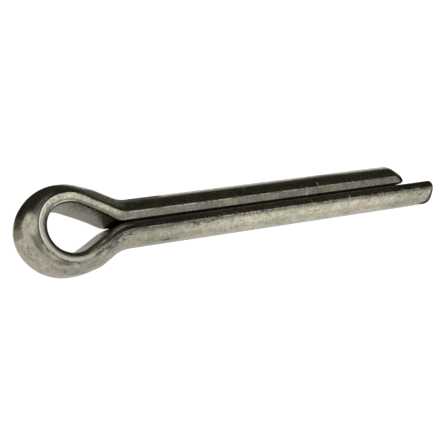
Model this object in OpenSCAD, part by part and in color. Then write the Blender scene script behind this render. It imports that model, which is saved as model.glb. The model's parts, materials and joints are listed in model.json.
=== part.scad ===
// Cotter pin: one length of half-round wire folded flat side to flat side.
// The fold is bulged into an eye, two flanks slope down from the eye into the
// neck, and the two prongs lie side by side as a round, split shank. One prong
// is longer than the other, so that the tips can be opened with a blade.
//
// Millimetres. The pin lies on its side. +X runs along the shank towards the
// tips, +Y runs across the slit towards the short prong, and +Z is the axis of
// the eye's hole. The origin is on the shank's centre line, where it starts.

/* [Shank] */
// Diameter of the shank, over both prongs
pin_d = 5.8; // [4:0.1:8]
// Slit between the flat sides of the prongs
slit = 0.1; // [0.1:0.05:0.6]
// Length of the short prong
short_l = 41; // [20:0.5:80]
// Reach of the long prong past the tip of the short one
tip_step = 5.5; // [1:0.1:8]

/* [Wire] */
// Width of the V groove that the bevelled edges of the wire leave along the slit
groove_w = 2; // [1:0.1:2.6]
// Fall of each bevel, from the round surface to the flat side
bevel_fall = 0.45; // [0.1:0.05:0.8]
// Rounding where each bevel meets the flat side
edge_r = 0.5; // [0.1:0.05:0.7]

/* [Eye] */
// Half the width of the hole
eye_r = 3.1; // [2.5:0.1:6]
// Reach of the hole behind its centre
eye_back = 3.3; // [2.5:0.1:6]
// Thickness of the wire at the sides of the eye, where the fold has thinned it
eye_t = 2.25; // [1.6:0.05:3]
// Thickness of the wire at the back of the eye
back_t = 2.4; // [1.6:0.05:3]
// How much the fold has spread the wire along the hole's axis, on each side
eye_spread = 0.45; // [0:0.05:0.7]
// Fall of each bevel round the eye, where the fold has raised the flat side's edges
eye_bevel_fall = 0.1; // [0:0.05:0.45]
// How far the eye sits off the centre line, towards the short prong
eye_set = 0.2; // [-0.5:0.05:0.5]

/* [Flanks and necks] */
// Slope of the flanks, between the eye and the neck
flank_angle = 28; // [22:0.5:38]
// Thickness of the wire halfway along the short prong's flank
short_flank_t = 2.75; // [2.3:0.05:3.1]
// Thickness of the wire halfway along the long prong's flank
long_flank_t = 2.9; // [2.3:0.05:3.1]
// Bend radius of the flat side at the neck of the short prong
short_neck_r = 6.5; // [4.5:0.1:9]
// Bend radius of the flat side at the neck of the long prong
long_neck_r = 8.5; // [4.5:0.1:9]

/* [Tips] */
// Radius that the tips are rounded to
tip_r = 1.2; // [0.5:0.05:2]
// Angle that the rounding has turned through where it meets the end face
tip_turn = 75; // [30:5:85]

/* [Hidden] */
$fn = 96;

pin_r = pin_d / 2;
prong_t = pin_r - slit / 2; // thickness of the wire in the prongs
long_l = short_l + tip_step;

// Crease where a bevel meets the round surface, in the wire's own section:
// across from the flat side, then along the hole's axis
crease = [(groove_w - slit) / 2, sqrt(pin_r * pin_r - groove_w * groove_w / 4)];
bevel_angle = atan2(bevel_fall, crease[0]);

// The bend is a smooth sweep, in this many steps over each stretch of its path
neck_steps = 7;
flank_steps = 6;
side_steps = 5; // from the flank to the side of the eye
back_steps = 18; // from the side of the eye to its back
round_steps = 15; // over the round surface
edge_steps = 3;

// The shank starts a little way after the necks end
neck_run = 0.5;
// The bend runs this far into the prongs, and is this much slimmer there
lap = 0.5;
lap_gap = 0.015;

flank_turn = 90 - flank_angle; // where the eye's arc ends and a flank starts
bend_arc = flank_angle * PI / 180; // the same turn as a length, on a radius of 1
eye_x = -neck_run - max(neck_reach(1), neck_reach(-1));

function mix(a, b, t) = a + (b - a) * t;
function smooth(t) = t * t * (3 - 2 * t);
function clamped(t) = min(max(t, 0), 1);
function unit(angle) = [cos(angle), sin(angle)];

// Side 1 is the short prong's half of the pin and side -1 the long prong's.
// Each half is worked out above the slit, and the long prong's is then mirrored.
function neck_r(side) = side > 0 ? short_neck_r : long_neck_r;
function flank_t(side) = side > 0 ? short_flank_t : long_flank_t;
function eye_y(side) = side * eye_set;

// Distance along the shank from the centre of the eye to the end of a neck
function neck_reach(side) =
    let (rise = slit / 2 + neck_r(side) - eye_y(side))
    (eye_r + neck_r(side) - rise * sin(flank_turn)) / cos(flank_turn);

// Edge of the wire's section from one bevel round to the flat side
function edge_arc() =
    let (start = 90 + bevel_angle)
    let (centre = [edge_r, crease[1] - bevel_fall - edge_r / tan(start / 2)])
    [for (i = [0:edge_steps]) centre + edge_r * unit(mix(start, 180, i / edge_steps))];

// The same edge on both sides of the flat, in order round the section
function both_edges() =
    let (edge = edge_arc())
    concat(edge, [for (i = [len(edge) - 1:-1:0]) [edge[i][0], -edge[i][1]]]);

// Whole section of the wire: one crease, the flat side, the other crease, and
// back over the round surface
function wire_section() =
    let (half_round = atan2(crease[1], groove_w / 2))
    concat([crease], both_edges(),
        [for (i = [0:round_steps - 1])
            pin_r * unit(mix(-half_round, half_round, i / round_steps)) - [slit / 2, 0]]);

// Flat side where a flank meets its neck, and where it meets the eye
function neck_centre(side) = [eye_x + neck_reach(side), slit / 2 + neck_r(side)];
function flank_end(side) = neck_centre(side) - neck_r(side) * unit(flank_turn);
function flank_start(side) = [eye_x, eye_y(side)] + eye_r * unit(flank_turn);
function half_flank(side) = norm(flank_end(side) - flank_start(side)) / 2;

// Thickness of the wire, a given run along the flat side from the neck's start.
// It has one value halfway along the flank, and another at the side of the eye.
function wire_t(side, run) =
    let (halfway = neck_r(side) * bend_arc + half_flank(side))
    let (rest = half_flank(side) + eye_r * bend_arc)
    run < halfway
        ? mix(prong_t, flank_t(side), smooth(run / halfway))
        : mix(flank_t(side), eye_t, smooth(clamped((run - halfway) / rest)));

// A stop on the sweep: where the flat side is, which way the round side faces,
// how thick the wire is, and how much slimmer it is made to fit inside a prong
function stop(place, facing, thick, slim = 0) = [place, facing, thick, slim];

function neck_stops(side) =
    [for (i = [0:neck_steps - 1])
        let (turn = mix(90, flank_turn, i / neck_steps))
        let (run = neck_r(side) * bend_arc * i / neck_steps)
        stop(neck_centre(side) - neck_r(side) * unit(turn), unit(turn), wire_t(side, run))];

function flank_stops(side) =
    [for (i = [0:flank_steps - 1])
        let (t = i / flank_steps)
        let (run = neck_r(side) * bend_arc + 2 * half_flank(side) * t)
        stop(mix(flank_end(side), flank_start(side), t), unit(flank_turn), wire_t(side, run))];

function side_stops(side) =
    [for (i = [0:side_steps - 1])
        let (t = i / side_steps)
        let (turn = mix(flank_turn, 90, t))
        let (run = neck_r(side) * bend_arc + 2 * half_flank(side) + eye_r * bend_arc * t)
        stop([eye_x, eye_y(side)] + eye_r * unit(turn), unit(turn), wire_t(side, run))];

function back_stops(side) =
    [for (i = [0:back_steps])
        let (turn = mix(90, 180, i / back_steps))
        let (across = [eye_back * cos(turn), eye_r * sin(turn)])
        let (facing = [cos(turn) / eye_back, sin(turn) / eye_r])
        let (thick = mix(eye_t, back_t, smooth(clamped(turn / 45 - 3))))
        stop([eye_x, eye_y(side)] + across, facing / norm(facing), thick)];

// Stops of one half, from inside its prong to the back of the eye
function half_stops(side) =
    let (prong_start = [for (x = [lap, 0]) stop([x, slit / 2], [0, 1], prong_t, lap_gap)])
    concat(prong_start, neck_stops(side), flank_stops(side), side_stops(side),
        back_stops(side));

// The wire's section, placed at a stop. Round the eye it is wider, its round
// side is thinner, and its bevels are flatter.
function ring(stop) =
    let (eased = smooth(clamped(stop[0][0] / eye_x)))
    let (thin = 1 - (stop[2] - crease[0]) / (prong_t - crease[0]))
    let (wide = mix(1, 1 + eye_spread / crease[1], eased))
    let (lift = (bevel_fall - eye_bevel_fall) * eased)
    let (slim = stop[3] / prong_t)
    [for (p = wire_section())
        let (thinned = p[0] - thin * max(p[0] - crease[0], 0))
        let (place = stop[0] + mix(thinned, prong_t / 2, 2 * slim) * stop[1])
        let (raised = p[1] + sign(p[1]) * lift * clamped(1 - p[0] / crease[0]))
        [place[0], place[1], raised * wide * (1 - slim)]];

function mirrored(points) = [for (p = points) [p[0], -p[1], p[2]]];

// Eye, flanks and necks in one sweep, closed at its two ends
module bend() {
    short_half = [for (s = half_stops(1)) ring(s)];
    long_half = [for (s = half_stops(-1)) mirrored(ring(s))];
    rings = concat(short_half, [for (i = [len(long_half) - 2:-1:0]) long_half[i]]);
    m = len(rings[0]);
    last = (len(rings) - 1) * m;
    points = [for (r = rings, p = r) p];
    walls = [for (i = [0:len(rings) - 2], j = [0:m - 1], upper = [true, false])
        let (a = i * m + j)
        let (b = i * m + (j + 1) % m)
        upper ? [a, b, b + m] : [a, b + m, a + m]];
    start = [for (j = [m - 1:-1:0]) j];
    end = [for (j = [0:m - 1]) last + j];
    polyhedron(points = points, faces = concat(walls, [start, end]));
}

// Round bar with the rounded tip, of which each prong is one half
module tipped_bar(length) {
    lip = 0.03; // the rounding starts with a faint edge
    arc_r = pin_r + lip - tip_r;
    arc_x = length - tip_r * sin(tip_turn);
    rotate([0, 90, 0])
    rotate_extrude() {
        difference() {
            square([pin_r, length]);
            difference() {
                translate([arc_r, arc_x]) square([pin_r, length]);
                translate([arc_r, arc_x]) circle(tip_r);
            }
        }
    }
}

// What lies beyond the flat side and the two bevels, along the whole prong
module half_space(length) {
    reach = 2 * pin_d;
    bevel_end = [0, crease[1] - bevel_fall] + reach * unit(bevel_angle);
    translate([0, slit / 2, 0])
    rotate([90, 0, 90])
    linear_extrude(length)
    polygon(concat([bevel_end], both_edges(), [[bevel_end[0], -bevel_end[1]]]));
}

module prong(length) {
    intersection() {
        tipped_bar(length);
        half_space(length);
    }
}

module cotter_pin() {
    color([0.62, 0.6, 0.56]) {
        bend();
        prong(short_l);
        mirror([0, 1, 0]) prong(long_l);
    }
}

cotter_pin();
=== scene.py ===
"""Cotter pin in drawn steel, lying on a pale floor.

The wire is made straight, with its bevelled edges and rounded tips, and is then
folded into the eye, the flanks, the necks and the two prongs. Sizes are in
metres: +X runs along the shank to the tips, +Y across the slit to the short
prong, and +Z is the axis of the eye's hole. The finish goes by each point's
place on the straight wire, in millimetres.
"""

import json
import math
from types import SimpleNamespace

import bpy
import numpy as np
from mathutils import Matrix, Vector


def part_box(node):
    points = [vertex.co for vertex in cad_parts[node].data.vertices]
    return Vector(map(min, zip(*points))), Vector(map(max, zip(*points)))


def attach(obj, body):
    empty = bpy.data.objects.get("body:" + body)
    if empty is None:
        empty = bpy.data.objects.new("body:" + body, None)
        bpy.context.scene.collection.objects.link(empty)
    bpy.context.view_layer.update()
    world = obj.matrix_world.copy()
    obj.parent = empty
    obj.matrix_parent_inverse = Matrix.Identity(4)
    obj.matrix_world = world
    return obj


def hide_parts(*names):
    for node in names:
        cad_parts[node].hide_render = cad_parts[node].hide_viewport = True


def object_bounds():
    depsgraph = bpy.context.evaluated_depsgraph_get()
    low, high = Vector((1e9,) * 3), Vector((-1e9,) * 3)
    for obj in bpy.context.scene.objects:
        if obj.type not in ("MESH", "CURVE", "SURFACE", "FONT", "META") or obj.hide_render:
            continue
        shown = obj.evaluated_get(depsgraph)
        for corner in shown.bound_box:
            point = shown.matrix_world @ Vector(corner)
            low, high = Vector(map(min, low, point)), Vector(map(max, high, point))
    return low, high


MM = 0.001

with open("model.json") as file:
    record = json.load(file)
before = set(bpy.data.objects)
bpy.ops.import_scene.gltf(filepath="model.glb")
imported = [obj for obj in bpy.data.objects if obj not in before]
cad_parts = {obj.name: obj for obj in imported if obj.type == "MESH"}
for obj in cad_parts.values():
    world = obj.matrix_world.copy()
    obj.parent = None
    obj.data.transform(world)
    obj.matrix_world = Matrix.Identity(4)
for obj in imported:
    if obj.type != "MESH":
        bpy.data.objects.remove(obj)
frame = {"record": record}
cad_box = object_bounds()
mounts = {m["name"]: m for m in frame["record"]["mounts"]}

# The two prongs, by the side of the slit on which each lies
SHORT = 1
LONG = -1

# The shank, and the wire's section in it
PIN_R = mounts["shank"]["dims"]["r_mm"] * MM
SLIT = 0.1 * MM
PRONG_T = PIN_R - SLIT / 2
TIP_STEP = 5.5 * MM
LONG_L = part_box("cotter_pin")[1].x
PRONG_L = {SHORT: LONG_L - TIP_STEP, LONG: LONG_L}
CREASE_Y = 0.95 * MM  # crease between bevel and round side, from the flat side
CREASE_Z = math.sqrt(PIN_R**2 - (CREASE_Y + SLIT / 2) ** 2)
CREASE_R = 0.1 * MM
BEVEL_FALL = 0.45 * MM
EDGE_R = 0.5 * MM

# The eye, and the wire's section round it
EYE_X, EYE_SET, _ = mounts["eye"]["pos_m"]
EYE_R = 3.1 * MM
EYE_BACK = 3.3 * MM
EYE_T = 2.25 * MM
BACK_T = 2.4 * MM
EYE_SPREAD = 0.45 * MM
EYE_BEVEL_FALL = 0.1 * MM
EYE_EDGE_FALL = 0.13 * MM
EYE_EDGE_Y = 0.42 * MM

# Flanks and necks
FLANK_ANGLE = math.radians(28)
FLANK_T = {SHORT: 2.75 * MM, LONG: 2.9 * MM}
NECK_R = {SHORT: 6.5 * MM, LONG: 8.5 * MM}

# The flat side stands out a little further: round the eye from one X on, along the
# short prong's flank between two eased ends, and in the gap between the necks
EYE_THICKER = 0.17 * MM
EYE_THICKER_FROM = -5 * MM
FLANK_SWELL = 0.2 * MM
FLANK_SWELL_ENDS = ((-12 * MM, -9 * MM), (-0.8 * MM, -3 * MM))
NECK_FILL = 0.12 * MM
NECK_FILL_X = -2.7 * MM
NECK_FILL_REACH = 1.9 * MM

# Tips: how far the rounding runs in, how much it takes off at the side and at the
# top, how fast it bends, and the rounding of the flat side's own corner
TIP_RUN = {SHORT: 1.3 * MM, LONG: 1.0 * MM}
TIP_DROP = {SHORT: 0.8 * MM, LONG: 0.15 * MM}
TIP_TOP_DROP = {SHORT: 0.45 * MM, LONG: 1.7 * MM}
TIP_BEND = {SHORT: 1.4, LONG: 2.8}
TIP_CORNER_R = {SHORT: 0.3 * MM, LONG: 0.72 * MM}

# How finely the wire and its path are divided
ROUND_STEPS = 128
EDGE_SEGMENTS = 5
CREASE_SEGMENTS = 3
LENGTHWISE_CUTS = (21, 20)
PATH_STEPS = SimpleNamespace(prong=300, neck=80, flank=81, eye=240)
SMOOTH_ANGLE = math.radians(35)
# Points closer than this are at one place
NEAR = 0.02 * MM
CUT_THRESHOLD = 1e-8
TINY = 1e-9


def mix(a, b, t):
    return a + (b - a) * t


def smooth(t):
    return t * t * (3 - 2 * t)


def share(value, start, full):
    """0 at start, 1 at full, and in step between them."""
    return np.clip((value - start) / (full - start), 0, 1)


def eased(value, start, full):
    """0 at start, 1 at full, and a smooth rise between them."""
    return smooth(share(value, start, full))


def direction(azimuth, elevation=0):
    """Unit vector to a compass direction, both angles in degrees."""
    a, e = math.radians(azimuth), math.radians(elevation)
    return Vector((math.cos(e) * math.cos(a), math.cos(e) * math.sin(a), math.sin(e)))


# -------------------------------------------------------------- work in a mesh


def clear_selection():
    if bpy.context.mode != "OBJECT":
        bpy.ops.object.mode_set(mode="OBJECT")
    bpy.ops.object.select_all(action="DESELECT")


def edit(piece):
    """Opens a piece in edit mode with nothing selected on it."""
    clear_selection()
    bpy.context.view_layer.objects.active = piece
    piece.select_set(True)
    bpy.ops.object.mode_set(mode="EDIT")
    bpy.ops.mesh.select_all(action="DESELECT")


def cut(place, away, clear_outer=False):
    """Cuts the whole open piece along a plane."""
    bpy.ops.mesh.select_all(action="SELECT")
    bpy.ops.mesh.bisect(
        plane_co=place, plane_no=away, clear_outer=clear_outer, threshold=CUT_THRESHOLD
    )


def round_corners(piece, places, reach, segments):
    """Rounds the vertices that lie at the given places on an open flat face."""
    bpy.ops.mesh.select_all(action="DESELECT")
    bpy.ops.object.mode_set(mode="OBJECT")
    for v in piece.data.vertices:
        v.select = any((v.co - Vector(p)).length < NEAR for p in places)
    bpy.ops.object.mode_set(mode="EDIT")
    bpy.ops.mesh.bevel(
        offset=reach, segments=segments, affect="VERTICES", clamp_overlap=False
    )


def select_lengthwise(piece):
    """Selects the edges that run along X."""
    bpy.ops.mesh.select_all(action="DESELECT")
    bpy.ops.mesh.select_mode(type="EDGE")
    bpy.ops.object.mode_set(mode="OBJECT")
    for e in piece.data.edges:
        a, b = (piece.data.vertices[i].co for i in e.vertices)
        e.select = abs(a.x - b.x) > NEAR
    bpy.ops.object.mode_set(mode="EDIT")


def face_outwards():
    """Turns all faces of the open piece outwards, and closes edit mode."""
    bpy.ops.mesh.select_all(action="SELECT")
    bpy.ops.mesh.normals_make_consistent(inside=False)
    bpy.ops.object.mode_set(mode="OBJECT")


def places_of(piece):
    """A row of x, y and z for each vertex."""
    co = np.zeros(len(piece.data.vertices) * 3, np.float32)
    piece.data.vertices.foreach_get("co", co)
    return co.reshape(-1, 3).astype(float)


def move_to(piece, co):
    """Puts each vertex at its row's place."""
    piece.data.vertices.foreach_set("co", co.astype(np.float32).ravel())
    piece.data.update()


# ---------------------------------------------------------------- wire's path


def flat_side_path(side):
    """Flat side of one half, from its tip to the back of the eye.

    Rows of x, y, the direction that the round side faces, and the thickness.
    """
    turn = math.pi / 2 - FLANK_ANGLE
    r = NECK_R[side]
    eye = np.array([EYE_X, side * EYE_SET])
    rise = SLIT / 2 + r - eye[1]
    reach = (EYE_R + r - rise * math.sin(turn)) / math.cos(turn)
    neck = np.array([EYE_X + reach, SLIT / 2 + r])
    slope = np.array([math.cos(turn), math.sin(turn)])
    flank = [neck - r * slope, eye + EYE_R * slope]

    neck_l = r * FLANK_ANGLE
    half_flank = np.linalg.norm(flank[1] - flank[0]) / 2
    halfway = neck_l + half_flank
    rest = half_flank + EYE_R * FLANK_ANGLE

    def thickness(gone):
        """Thickness of the wire at a distance from where the neck starts."""
        if gone < halfway:
            return mix(PRONG_T, FLANK_T[side], smooth(gone / halfway))
        return mix(FLANK_T[side], EYE_T, smooth((gone - halfway) / rest))

    prong = np.linspace(PRONG_L[side], neck[0], PATH_STEPS.prong)
    rows = [[x, SLIT / 2, 0, 1, PRONG_T] for x in prong]
    for t in np.linspace(0, 1, PATH_STEPS.neck)[1:]:
        a = mix(math.pi / 2, turn, t)
        facing = np.array([math.cos(a), math.sin(a)])
        rows.append([*(neck - r * facing), *facing, thickness(t * neck_l)])
    for t in np.linspace(0, 1, PATH_STEPS.flank)[1:]:
        thick = thickness(neck_l + 2 * t * half_flank)
        rows.append([*mix(*flank, t), *slope, thick])
    for a in np.linspace(turn, math.pi, PATH_STEPS.eye)[1:]:
        if a < math.pi / 2:
            back = EYE_R
            thick = thickness(neck_l + 2 * half_flank + EYE_R * (a - turn))
        else:
            back = EYE_BACK
            thick = mix(EYE_T, BACK_T, eased(a, 0.75 * math.pi, math.pi))
        place = eye + [back * math.cos(a), EYE_R * math.sin(a)]
        facing = np.array([math.cos(a) / back, math.sin(a) / EYE_R])
        rows.append([*place, *(facing / np.linalg.norm(facing)), thick])
    return np.array(rows)


def wire_path():
    """The whole flat side, from the short prong's tip to the long prong's."""
    short = flat_side_path(SHORT)
    long = flat_side_path(LONG)[::-1] * [1, -1, 1, -1, 1]
    rows = np.concatenate([short, long[1:]])
    gone = np.hypot(*np.diff(rows[:, :2], axis=0).T)
    return np.concatenate([[0], np.cumsum(gone)]), rows


run, path = wire_path()
WIRE_L = run[-1]


# -------------------------------------------------------------------- the pin


def straight_wire():
    """Half-round wire along X, with its flat side at y = 0 and its edges bevelled."""
    clear_selection()
    bpy.ops.mesh.primitive_circle_add(
        vertices=ROUND_STEPS,
        radius=PIN_R,
        fill_type="NGON",
        location=(0, -SLIT / 2, 0),
        rotation=(0, math.pi / 2, 0),
    )
    wire = bpy.context.active_object
    wire.name = "split_pin"
    bpy.ops.object.transform_apply(location=True, rotation=True, scale=True)
    edit(wire)

    flat_z = CREASE_Z - BEVEL_FALL
    slope = math.atan2(BEVEL_FALL, CREASE_Y)
    cut((0, 0, 0), (0, -1, 0), clear_outer=True)
    for up in (1, -1):
        away = (0, -math.sin(slope), up * math.cos(slope))
        cut((0, 0, up * flat_z), away, clear_outer=True)
    # A row of points on each bevel, which the edge of the eye's hole turns on
    cut((0, EYE_EDGE_Y, 0), (0, 1, 0))

    corners = [(0, 0, flat_z), (0, 0, -flat_z)]
    round_corners(wire, corners, EDGE_R * math.tan(math.pi / 4 - slope / 2), EDGE_SEGMENTS)
    creases = [(0, CREASE_Y, CREASE_Z), (0, CREASE_Y, -CREASE_Z)]
    round_corners(wire, creases, CREASE_R, CREASE_SEGMENTS)

    bpy.ops.mesh.select_all(action="SELECT")
    bpy.ops.mesh.extrude_region_move(TRANSFORM_OT_translate={"value": (WIRE_L, 0, 0)})
    for number in LENGTHWISE_CUTS:
        select_lengthwise(wire)
        bpy.ops.mesh.subdivide(number_cuts=number)
    face_outwards()
    return wire


def round_tips(wire):
    """Draws both ends in towards the shank's centre line."""
    co = places_of(wire)
    for side, end in ((SHORT, 0), (LONG, WIRE_L)):
        from_end = np.abs(co[:, 0] - end)
        into = share(from_end, TIP_RUN[side], 0)
        out = np.maximum(np.hypot(co[:, 1] + SLIT / 2, co[:, 2]), TINY)
        sideways = ((co[:, 1] + SLIT / 2) / out) ** 2
        drop = mix(TIP_TOP_DROP[side], TIP_DROP[side], sideways)
        allowed = PIN_R - drop * into ** TIP_BEND[side]
        draw = np.where(into > 0, np.minimum(1, allowed / out), 1)
        co[:, 1] = np.maximum((co[:, 1] + SLIT / 2) * draw - SLIT / 2, 0)
        co[:, 2] *= draw
        # The flat side's own corner is rounded too
        r = TIP_CORNER_R[side]
        pull = r * (1 - np.sqrt(1 - share(co[:, 1], r, 0) ** 2))
        co[:, 0] += side * pull * share(from_end, 3 * r, 0)
    move_to(wire, co)


def keep_straight_places(wire):
    """Remembers each point's place on the straight wire, which its finish follows."""
    lie = wire.data.attributes.new("wire", "FLOAT_VECTOR", "POINT")
    lie.data.foreach_set("vector", places_of(wire).astype(np.float32).ravel())


def fold(wire):
    """Lays the wire along its path, thinner and wider round the eye."""
    co = places_of(wire)
    x, y, facing_x, facing_y, thick = (np.interp(co[:, 0], run, r) for r in path.T)
    depth = co[:, 1]
    in_eye = eased(x, 0, EYE_X)
    on_bevel = share(depth, CREASE_Y, 0)

    # Only the round side is thinned, outside the creases
    past_crease = np.maximum(depth - CREASE_Y, 0)
    out = depth - past_crease * (1 - (thick - CREASE_Y) / (PRONG_T - CREASE_Y))

    # The flat side's small swells
    swell = eased(x, *FLANK_SWELL_ENDS[0]) * eased(x, *FLANK_SWELL_ENDS[1])
    inner_share = np.clip((thick - out) / (thick - CREASE_Y), 0, 1)
    out = out - FLANK_SWELL * swell * inner_share * (facing_y > 0)
    thicker = EYE_THICKER * eased(x, EYE_THICKER_FROM, EYE_X)
    filled = NECK_FILL * eased(np.abs(x - NECK_FILL_X), NECK_FILL_REACH, 0)
    out = out - (thicker + filled) * on_bevel

    # Round the eye the bevels are flatter, the hole's edge falls away, and the
    # wire is wider
    lift = (BEVEL_FALL - EYE_BEVEL_FALL) * on_bevel
    lift = lift - EYE_EDGE_FALL * share(depth, EYE_EDGE_Y, 0)
    rise = co[:, 2] + np.sign(co[:, 2]) * lift * in_eye
    rise = rise * mix(1, 1 + EYE_SPREAD / CREASE_Z, in_eye)
    move_to(wire, np.stack([x + out * facing_x, y + out * facing_y, rise], axis=1))


def split_pin():
    """The pin's one length of wire, folded."""
    wire = straight_wire()
    round_tips(wire)
    keep_straight_places(wire)
    fold(wire)
    edit(wire)
    face_outwards()
    bpy.ops.object.shade_smooth_by_angle(angle=SMOOTH_ANGLE)
    return wire


pin = split_pin()
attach(pin, "root")
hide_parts("cotter_pin")


# ----------------------------------------------------------- work in materials


class Nodes:
    """A node tree, with short ways to add the nodes that a pattern is made of."""

    def __init__(self, tree):
        self.nodes = tree.nodes
        self.links = tree.links

    def feed(self, source, socket):
        """Links an output to a socket, or sets the socket to a plain value."""
        if isinstance(source, bpy.types.NodeSocket):
            self.links.new(source, socket)
        else:
            socket.default_value = source

    def add(self, kind, **settings):
        node = self.nodes.new(kind)
        for key, value in settings.items():
            setattr(node, key, value)
        return node

    def math(self, operation, a, b=0.0, c=0.0, clamp=False):
        node = self.add("ShaderNodeMath", operation=operation, use_clamp=clamp)
        for socket, source in zip(node.inputs, (a, b, c)):
            self.feed(source, socket)
        return node.outputs[0]

    def most(self, *values):
        total = values[0]
        for value in values[1:]:
            total = self.math("MAXIMUM", total, value)
        return total

    def times(self, *values):
        total = values[0]
        for value in values[1:]:
            total = self.math("MULTIPLY", total, value)
        return total

    def vector(self, operation, a, b=(0, 0, 0), out="Vector"):
        node = self.add("ShaderNodeVectorMath", operation=operation)
        self.feed(a, node.inputs[0])
        self.feed(b, node.inputs[1])
        return node.outputs[out]

    def split(self, vector):
        node = self.add("ShaderNodeSeparateXYZ")
        self.feed(vector, node.inputs[0])
        return node.outputs

    def noise(self, vector, scale, detail, roughness, stretched=None):
        node = self.add("ShaderNodeTexNoise")
        if stretched:
            vector = self.vector("MULTIPLY", vector, stretched)
        self.feed(vector, node.inputs["Vector"])
        node.inputs["Scale"].default_value = scale
        node.inputs["Detail"].default_value = detail
        node.inputs["Roughness"].default_value = roughness
        return node.outputs["Fac"]

    def ramp(self, value, low, high, a=0.0, b=1.0):
        """Runs smoothly from a to b as the value goes from low to high."""
        node = self.add("ShaderNodeMapRange", interpolation_type="SMOOTHSTEP")
        self.feed(value, node.inputs["Value"])
        node.inputs["From Min"].default_value = low
        node.inputs["From Max"].default_value = high
        node.inputs["To Min"].default_value = a
        node.inputs["To Max"].default_value = b
        return node.outputs["Result"]

    def span(self, value, start, full, fade, end):
        """1 from full to fade, and 0 before start and after end."""
        return self.times(self.ramp(value, start, full), self.ramp(value, end, fade))

    def patch(self, vector, centre, reach):
        """A soft oval patch, 1 in its middle, round a place."""
        from_centre = self.vector("SUBTRACT", vector, centre)
        in_reaches = self.vector("MULTIPLY", from_centre, [1 / r for r in reach])
        return self.ramp(self.vector("LENGTH", in_reaches, out="Value"), 1, 0.45)

    def blend(self, mask, a, b):
        """A value that goes from a to b with the mask."""
        node = self.add("ShaderNodeMix", data_type="FLOAT")
        for index, source in ((0, mask), (2, a), (3, b)):
            self.feed(source, node.inputs[index])
        return node.outputs[0]

    def tint(self, mask, a, b, blend="MIX"):
        """A colour that goes from a to b with the mask."""
        node = self.add("ShaderNodeMix", data_type="RGBA", blend_type=blend)
        for index, source in ((0, mask), (6, a), (7, b)):
            self.feed(source, node.inputs[index])
        return node.outputs[2]

    def grey(self, value):
        node = self.add("ShaderNodeCombineColor")
        for socket in node.inputs:
            self.feed(value, socket)
        return node.outputs["Color"]

    def bump(self, height, distance):
        node = self.add("ShaderNodeBump")
        self.feed(1, node.inputs["Strength"])
        self.feed(distance, node.inputs["Distance"])
        self.feed(height, node.inputs["Height"])
        return node.outputs["Normal"]

    def by_ray(self, levels):
        """Adds up a level for each kind of ray that the Light Path node names."""
        rays = self.add("ShaderNodeLightPath").outputs
        total = 0.0
        for ray, level in levels.items():
            total = self.math("MULTIPLY_ADD", rays[ray], level, total)
        return total


class Finish(Nodes):
    """A material with the Principled shader."""

    def __init__(self, name):
        self.material = bpy.data.materials.new(name)
        self.material.use_nodes = True
        super().__init__(self.material.node_tree)

    def put(self, name, source):
        """Feeds one of the shader's sockets."""
        self.feed(source, self.nodes["Principled BSDF"].inputs[name])


# -------------------------------------------------------------- the pin's steel

# Where the long prong's own length starts on the straight wire
LONG_START = (WIRE_L - LONG_L) / MM
# The middle of a crease's rounding lies this much outside the crease itself
CREASE_SHIFT = 0.02

# Colours of clean steel, of what is on it, and of the painted shade, painted highlight and
# painted light laid on it
PLAIN = (0.5, 0.487, 0.368, 1)
PINKISH = (0.545, 0.487, 0.383, 1)
BLUISH = (0.485, 0.48, 0.42, 1)
DIRT_AND_SHADE = (0.06, 0.052, 0.04, 1)
DARK_TICKS = (0.1, 0.09, 0.07, 1)
SLIT_SHADE = (0.04, 0.036, 0.03, 1)
END_AND_TIP_SHADE = (0.03, 0.028, 0.024, 1)
PAINTED_SHADE_LINE = (0.06, 0.055, 0.045, 1)
PAINTED_HIGHLIGHT = (0.95, 0.92, 0.86, 1)
WORN_AND_LIT = (0.6, 0.57, 0.5, 1)

# Stretches along the wire, in millimetres from the long prong's start: where each
# starts, is full, fades and has ended. The eye's back is near -14.5.
DARKER_NECK = (-18, -8, 2, 15)
STREAKED_BEND = (-13, -9, 2, 7)
EYE_RIDGE = (-21, -19, -14.5, -12.5)
DOTTED_LINE = (-16, -14, -11, -9)
RUBBED_LINE = (-9, -6, -3, -0.5)
# Painted light on the bevel round the eye's lower side
PAINTED_LIGHT_BEVEL = (-16, -12.5, -9.5, -6.5)

# Where dark streaks crowd: place and reach of each crowd on the wire, along it from
# the long prong's start, from its flat side, and along the hole's axis
STREAK_CROWDS = [
    ((8.2, 1.3, 2.6), (3.4, 0.4, 0.6)),
    ((3.2, 2.6, 1.1), (3.4, 0.35, 0.6)),
    ((-4.4, 1.45, 2.5), (4.5, 0.7, 1.0)),
    ((-10.2, 1.15, 2.65), (2.8, 0.35, 0.6)),
    ((-13.7, 1.2, 2.6), (1.8, 0.3, 0.6)),
]
# The crowd on the long prong's flank has bright streaks between its dark ones
GLINTS_IN = 2
# Bright scratches across the wire, and a rubbed patch on the short prong's flank
SCRATCHES = [
    ((-54.0, 0.6, 2.55), (0.13, 0.8, 0.8)),
    ((31.2, 0.85, 2.7), (0.13, 0.6, 0.6)),
]
RUBBED_FLANK = ((-23.6, 1.8, 2.2), (4.4, 0.85, 1.3))


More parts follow.
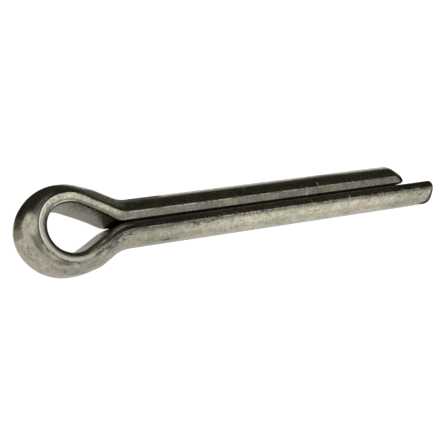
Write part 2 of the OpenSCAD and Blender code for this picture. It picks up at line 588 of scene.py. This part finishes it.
def place_on_wire(f):
    """Where a point lies on the straight wire, and the noises that effects share."""
    at = SimpleNamespace()
    stored = f.add("ShaderNodeAttribute", attribute_name="wire").outputs["Vector"]
    at.wire = f.vector("MULTIPLY", stored, (1 / MM, 1 / MM, 1 / MM))
    at.from_long_start = f.vector("SUBTRACT", at.wire, (LONG_START, 0, 0))
    at.from_short_tip, at.depth, at.rise = f.split(at.wire)
    at.along = f.math("SUBTRACT", at.from_short_tip, LONG_START)
    at.past_crease = f.math("SUBTRACT", at.depth, CREASE_Y / MM + CREASE_SHIFT)
    at.off_crease = f.math("ABSOLUTE", at.past_crease)
    at.mottle = f.noise(at.wire, 2.1, 3, 0.6)
    at.grain = f.noise(at.wire, 6.5, 2, 0.6)
    at.comb = f.noise(at.wire, 1, 2, 0.6, stretched=(4, 1.6, 1.6))
    at.dashes = f.noise(at.wire, 1, 2, 0.6, stretched=(0.9, 3.5, 3.5))
    at.crowds = [f.patch(at.from_long_start, *oval) for oval in STREAK_CROWDS]
    return at


def clean_steel(f, at):
    """Cloudy tints, a few millimetres across, with finer mottling and grain."""
    pink = f.ramp(f.noise(at.wire, 0.7, 2, 0.5, stretched=(0.8, 1, 1)), 0.4, 0.6)
    blue = f.ramp(f.noise(at.wire, 0.62, 1, 0.5, stretched=(0.9, 1.3, 1.1)), 0.5, 0.66)
    clouds = f.noise(at.wire, 0.5, 3, 0.55, stretched=(0.8, 1, 1))
    colour = f.tint(pink, PLAIN, PINKISH)
    colour = f.tint(f.times(blue, 0.6), colour, BLUISH)
    shade = f.times(
        f.ramp(clouds, 0.3, 0.7, 0.84, 1.12),
        f.ramp(at.mottle, 0.3, 0.7, 0.82, 1.16),
        f.ramp(at.grain, 0.35, 0.8, 1.12, 0.68),
        f.math("MULTIPLY_ADD", darkening(f, at), -0.32, 1.05),
    )
    return f.tint(1.0, colour, f.grey(shade), "MULTIPLY")


def darkening(f, at):
    """Darker at the long prong's neck and tip, and at the end of the short bevel."""
    clear = f.times(f.ramp(at.depth, 1.1, 0.85), f.ramp(at.along, -6, -9))
    neck = f.times(f.span(at.along, *DARKER_NECK), f.ramp(clear, 1, 0))
    bevel_end = f.times(f.ramp(at.depth, 1, 0.9), f.ramp(at.along, -42, -52, 0, 0.6))
    return f.most(neck, f.ramp(at.along, 36, 40, 0, 0.8), bevel_end)


def dirt_in_marks(f, at):
    """Pits in crowds, streaks and dashes along the wire, and chips on the creases."""
    pits = f.ramp(f.noise(at.wire, 3.2, 2, 0.6), 0.58, 0.7)
    pits = f.times(pits, f.ramp(f.noise(at.wire, 0.45, 2, 0.5), 0.42, 0.62))
    streaks = f.noise(at.wire, 1, 3, 0.6, stretched=(0.22, 2.6, 2.6))
    patches = f.noise(at.wire, 1, 1, 0.5, stretched=(0.16, 0.6, 0.6))
    streaked = f.most(f.ramp(patches, 0.48, 0.66), f.span(at.along, *STREAKED_BEND))
    streaks = f.times(f.ramp(streaks, 0.58, 0.72), streaked)
    broken = f.noise(at.wire, 1.3, 3, 0.7, stretched=(0.5, 1, 1))
    chips = f.times(f.ramp(at.off_crease, 0.14, 0.05), f.ramp(broken, 0.46, 0.58))
    dashes = f.times(f.ramp(at.dashes, 0.46, 0.58), f.most(*at.crowds))
    return f.most(pits, streaks, chips, dashes)


def painted_shade_in_eye(f, at):
    """Painted shade on the short prong's wall of the hole: darker above and towards the
    neck, where the hole lies in shade.
    """
    wall = f.times(f.ramp(at.depth, 0.2, 0.08), f.ramp(at.along, -15, -18))
    above = f.ramp(at.rise, -0.8, 1.7, 0.3, 0.72)
    above = f.most(above, f.ramp(at.along, -22, -19.5, 0, 0.5))
    above = f.times(above, f.ramp(at.mottle, 0.36, 0.62, 0.5, 1.3))
    slanted = f.math("MULTIPLY_ADD", at.rise, -0.75, at.along)
    return f.times(wall, f.most(above, f.ramp(slanted, -25.2, -25.9)))


def slit_in_shank(f, at):
    """The flat sides where they face each other across the slit."""
    x, _, _ = f.split(f.add("ShaderNodeTexCoord").outputs["Object"])
    return f.times(f.ramp(at.depth, 0.2, 0.02), f.ramp(x, -3 * MM, 0))


def ticks_on_creases(f, at):
    """Short ticks across the creases: a mask of dark ones, and one of light ones."""
    beside = f.times(f.ramp(at.off_crease, 0.5, 0.1), f.ramp(at.along, 4, 12, 0.25, 1))
    dark = f.times(f.ramp(at.comb, 0.53, 0.64), beside)
    light = f.times(f.ramp(at.comb, 0.43, 0.34, 0, 0.6), beside)
    return dark, light


def ends_with_tip_shade(f, at):
    """The two ends: the short prong's end is darker, and the long prong's end has a
    crescent of painted shade, starting on a slant, where its rounding turns away.
    """
    from_long_tip = f.math("SUBTRACT", WIRE_L / MM, at.from_short_tip)
    slanted = f.math("MULTIPLY_ADD", at.depth, -0.4, from_long_tip)
    long_tip_shade = f.times(f.ramp(slanted, 0.5, 0.3), f.ramp(at.depth, 0.9, 1.3))
    return f.most(long_tip_shade, f.ramp(at.from_short_tip, 0.65, 0.45))


def painted_lines_at_eye(f, at):
    """A painted highlight on the crease round the eye, with a painted line of shade beside
    it.
    """
    ridge = f.span(at.along, *EYE_RIDGE)
    dotted = f.times(f.span(at.along, *DOTTED_LINE), f.ramp(at.comb, 0.42, 0.55))
    dark = f.times(f.span(at.past_crease, 0.1, 0.16, 0.2, 0.3), f.most(ridge, dotted))
    bright = f.times(f.ramp(at.off_crease, 0.1, 0.04), ridge)
    return dark, bright


def wear_and_painted_light(f, at):
    """Scuffs, scratches, what is rubbed light on the flanks, and painted light on the bevel
    round the eye.
    """
    scuffs = f.ramp(f.noise(at.wire, 1.1, 2, 0.5, stretched=(3, 0.5, 0.5)), 0.7, 0.76)
    scratches = [f.patch(at.from_long_start, *oval) for oval in SCRATCHES]
    scratches = f.times(f.most(*scratches), 0.9)
    glints = f.times(f.ramp(at.dashes, 0.43, 0.36, 0, 0.55), at.crowds[GLINTS_IN])
    flank = f.patch(at.from_long_start, *RUBBED_FLANK)
    flank = f.times(flank, f.ramp(at.grain, 0.35, 0.65, 0.1, 0.5))
    # A line that follows the hole along the long prong's flank
    worn = f.noise(at.wire, 1, 2, 0.6, stretched=(0.6, 2, 2))
    line = f.times(f.span(at.depth, 0.24, 0.34, 0.44, 0.56), f.span(at.along, *RUBBED_LINE))
    line = f.times(line, f.ramp(worn, 0.36, 0.6, 0.1, 0.9))
    # Painted light on the bevel round the lower side of the eye
    bevel = f.times(f.span(at.depth, 0.4, 0.6, 0.9, 1.05), f.span(at.along, *PAINTED_LIGHT_BEVEL))
    bevel = f.times(bevel, f.ramp(at.mottle, 0.35, 0.6, 0.9, 0.5))
    return f.most(scuffs, scratches, glints, flank, line, bevel)


def steel():
    """Drawn steel: cloudy, pitted, and streaked along the wire."""
    f = Finish("drawn_steel")
    at = place_on_wire(f)
    slit = slit_in_shank(f, at)
    dirt = f.most(f.times(dirt_in_marks(f, at), 0.75), f.times(slit, 0.3))
    dark_ticks, light_ticks = ticks_on_creases(f, at)
    ridge_shade_line, ridge_highlight = painted_lines_at_eye(f, at)
    # The short prong's bevel darkens towards the slit
    short_bevel = f.times(f.ramp(at.depth, 0.6, 0.12), f.ramp(at.along, -24, -30))
    # Wear, and painted light on the bevel round the eye
    worn = f.most(light_ticks, wear_and_painted_light(f, at))

    colour = clean_steel(f, at)
    for mask, over in (
        # Dirt in marks and in the slit, and painted shade in the hole
        (f.most(dirt, painted_shade_in_eye(f, at)), DIRT_AND_SHADE),
        (f.times(dark_ticks, 0.7), DARK_TICKS),
        (f.times(short_bevel, 0.72), SLIT_SHADE),
        # The short prong's end darker, and painted shade on the long tip
        (f.times(ends_with_tip_shade(f, at), 0.85), END_AND_TIP_SHADE),
        # A painted line of shade and a painted highlight on the crease round the eye
        (f.times(ridge_shade_line, 0.7), PAINTED_SHADE_LINE),
        (ridge_highlight, PAINTED_HIGHLIGHT),
        (worn, WORN_AND_LIT),
    ):
        colour = f.tint(mask, colour, over)

    rough = f.math("MULTIPLY_ADD", at.grain, 0.12, 0.15)
    rough = f.math("MULTIPLY_ADD", dirt, 0.3, rough)
    metallic = f.math("MULTIPLY_ADD", worn, -0.5, 1.0)
    metallic = f.math("MULTIPLY_ADD", slit, -0.3, metallic, clamp=True)
    height = f.times(f.noise(at.wire, 1.2, 2, 0.6, stretched=(3, 1.2, 1.2)), 0.25)
    height = f.math("MULTIPLY_ADD", at.grain, 0.35, height)
    height = f.math("MULTIPLY_ADD", dirt, -0.5, height)
    f.put("Base Color", colour)
    f.put("Roughness", rough)
    f.put("Metallic", metallic)
    f.put("Normal", f.bump(height, 0.02 * MM))
    return f.material


pin.data.materials.append(steel())


# --------------------------------------------------------------- floor and cards

FLOOR_SIZE = 4
FLOOR_GLOW = {"Is Camera Ray": 0.86, "Is Glossy Ray": 0.28, "Is Transmission Ray": 0.86}


def floor():
    """A pale floor that the camera and the pin's reflections see as white."""
    clear_selection()
    bpy.ops.mesh.primitive_plane_add(size=FLOOR_SIZE, location=(0, 0, cad_box[0].z))
    plane = bpy.context.active_object
    plane.name = "floor"
    f = Finish("white_floor")
    f.put("Base Color", (0.85, 0.85, 0.85, 1))
    f.put("Roughness", 1)
    f.put("Specular IOR Level", 0)
    f.put("Emission Color", (1, 1, 1, 1))
    f.put("Emission Strength", f.by_ray(FLOOR_GLOW))
    plane.data.materials.append(f.material)


# Two dark cards give the steel something dark to reflect. The large card's strip on the
# floor, its rows that lie flat round the eye and the small card under the necks are painted
# shadow:
# the pin's own shadow on the floor as the steel reflects it. Where the large card stands up
# behind, it is a dark flag.
# They lie this much above the floor, and nothing but the pin's reflections shows them.
CARD_Z = cad_box[0].z + 0.05 * MM
CARD_DARK = (0.045, 0.043, 0.034, 1)
CARD_LIGHT = (0.66, 0.64, 0.55, 1)
CARD_CENTRE = Vector((EYE_X, EYE_SET, 0))
UNDER_NECK = (4.5 * MM, 2.4 * MM)

# The large card stands beside and behind the pin; its strip on the floor is painted shadow,
# and where it stands up it is a dark flag.
# Each row is one column of it: where its edge lies on the floor near the pin, in
# millimetres, the direction and distance of its foot from the eye, and the elevation of its
# top over that foot.
CARD = [
    # near x, near y, azimuth, distance, elevation
    (48.8, -6.5, -8, 0.4, 38),
    (48.5, -3.5, 5, 0.4, 40),
    (51, 4, 20, 0.4, 44),
    (50, 9.5, 34, 0.4, 54),
    (45, 9.5, 48, 0.4, 57),
    (38.5, 9, 52, 0.4, 57),
    (33.5, 6.8, 54, 0.4, 57),
    (28, 9, 57, 0.4, 56),
    (20, 9, 60, 0.4, 56),
    (8.5, 8.5, 66, 0.4, 54),
    (6.5, 4.5, 70, 0.4, 51),
    (1.5, 4.5, 77, 0.4, 46),
    (-0.8, 11, 82, 0.4, 42),
    (-9, 6.8, 102, 0.4, 28),
    (-12.2, 4.8, 118, 0.4, 22),
    (-12.8, 3.6, 133, 0.4, 18),
    # The rows from here lie flat on the floor round the eye, as painted shadow
    (-12.9, 3.3, 138, 0.0135, 0),
    (-13.4, 3, 147, 0.0124, 0),
    (-14.2, 2.5, 156, 0.0113, 0),
    (-14.5, 1.7, 165, 0.0108, 0),
    (-14.6, 1, 172, 0.012, 0),
    (-14.7, 0.1, 181, 0.0115, 0),
]


def card_finish():
    """Dark for the painted shadow and the flag, and lighter behind the eye, near the neck
    and far away behind.
    """
    f = Finish("shadow_and_flag_card")
    place = f.add("ShaderNodeTexCoord").outputs["Object"]
    x, y, _ = f.split(place)
    flat = f.vector("MULTIPLY", f.vector("SUBTRACT", place, CARD_CENTRE), (1, 1, 0))
    backwards, _, _ = f.split(f.vector("NORMALIZE", flat))
    distance = f.vector("LENGTH", flat, out="Value")
    behind_eye = f.most(
        f.ramp(backwards, -0.8, -0.9, 0, 0.25),
        f.ramp(backwards, -0.95, -0.98),
    )
    near_neck = f.times(
        f.ramp(y, 15 * MM, 8.5 * MM, 0, 0.37),
        f.ramp(x, -7 * MM, -2 * MM),
        f.ramp(y, 2 * MM, 4 * MM),
    )
    far = f.times(f.ramp(distance, 0.03, 0.15, 0, 0.28), f.ramp(backwards, 0.25, -0.1))
    f.put("Base Color", f.tint(f.most(behind_eye, near_neck, far), CARD_DARK, CARD_LIGHT))
    f.put("Roughness", 1)
    f.put("Specular IOR Level", 0)
    return f.material


def large_card():
    """A strip that lies on the floor near the pin as painted shadow, and stands up behind
    as a dark flag.
    """
    rows = []
    for near_x, near_y, azimuth, distance, elevation in CARD:
        near = Vector((near_x, near_y, 0)) * MM
        foot = CARD_CENTRE + direction(azimuth) * distance
        height = math.tan(math.radians(elevation)) * distance
        rows.append([near, foot, foot + Vector((0, 0, height))])
    clear_selection()
    columns = len(rows) - 1
    bpy.ops.mesh.primitive_grid_add(x_subdivisions=columns, y_subdivisions=2, size=2)
    card = bpy.context.active_object
    card.name = "shadow_and_flag_card"
    for v in card.data.vertices:
        column = round((v.co.x + 1) / 2 * columns)
        v.co = rows[column][round(v.co.y) + 1] + Vector((0, 0, CARD_Z))
    return card


def painted_shadow_under_neck():
    """Painted shadow: a small dark card below the gap between the two necks, where the
    floor lies in the pin's shadow.
    """
    clear_selection()
    bpy.ops.mesh.primitive_plane_add(size=1, location=(0, 0, CARD_Z))
    card = bpy.context.active_object
    card.name = "painted_shadow_under_neck"
    for v in card.data.vertices:
        v.co = (v.co.x * UNDER_NECK[0], v.co.y * UNDER_NECK[1], 0)
    return card


def shadow_and_flag_cards():
    """Both cards, seen only in reflections: painted shadow on the floor, and a dark flag
    behind.
    """
    finish = card_finish()
    for part in (large_card(), painted_shadow_under_neck()):
        part.data.materials.append(finish)
        part.visible_camera = False
        part.visible_diffuse = False
        part.visible_shadow = False


# -------------------------------------------------------------- light and camera

# Soft boxes: azimuth, elevation, the angles from the middle at which the light
# starts to fall and at which it has ended, and the strength. ROOM is the rest.
ROOM = 0.33
SOFT_BOXES = [
    (35, 84, 32, 39, 0.96),
    (-52, 8, 20, 30, 1.05),
    (-125, 30, 12, 30, 0.8),
    (160, 15, 14, 27, 0.95),
]


def daylight():
    """Soft boxes all round, in a room that is dimmer between them."""
    world = bpy.data.worlds.new("studio")
    bpy.context.scene.world = world
    world.use_nodes = True
    n = Nodes(world.node_tree)
    look = n.add("ShaderNodeTexCoord").outputs["Generated"]
    strength = ROOM
    for azimuth, elevation, full, ended, level in SOFT_BOXES:
        off = n.vector("DOT_PRODUCT", look, direction(azimuth, elevation), out="Value")
        edge, core = math.cos(math.radians(ended)), math.cos(math.radians(full))
        strength = n.blend(n.ramp(off, edge, core), strength, level)
    # The camera sees plain white
    seen = n.add("ShaderNodeLightPath").outputs["Is Camera Ray"]
    sky = n.nodes["Background"]
    n.feed((1, 1, 1, 1), sky.inputs["Color"])
    n.feed(n.most(seen, strength), sky.inputs["Strength"])


# The camera stands here, looks at AIM, and is rolled by this much
CAMERA_AT = Vector((-76.05, -17.95, 130.14)) * MM
AIM = Vector((12.637, -1.362, 0)) * MM
ROLL = math.radians(68.921)
LENS = 104.64


def camera():
    """The camera, rolled about its own line of sight."""
    data = bpy.data.cameras.new("camera")
    data.lens = LENS
    data.clip_start = 0.01
    data.clip_end = 10
    view = bpy.data.objects.new("camera", data)
    bpy.context.scene.collection.objects.link(view)
    level = (AIM - CAMERA_AT).to_track_quat("-Z", "Y").to_matrix()
    turned = level @ Matrix.Rotation(ROLL, 3, "Z")
    view.matrix_world = Matrix.Translation(CAMERA_AT) @ turned.to_4x4()
    bpy.context.scene.camera = view


floor()
shadow_and_flag_cards()
daylight()
camera()
bpy.context.scene.view_settings.view_transform = "Standard"
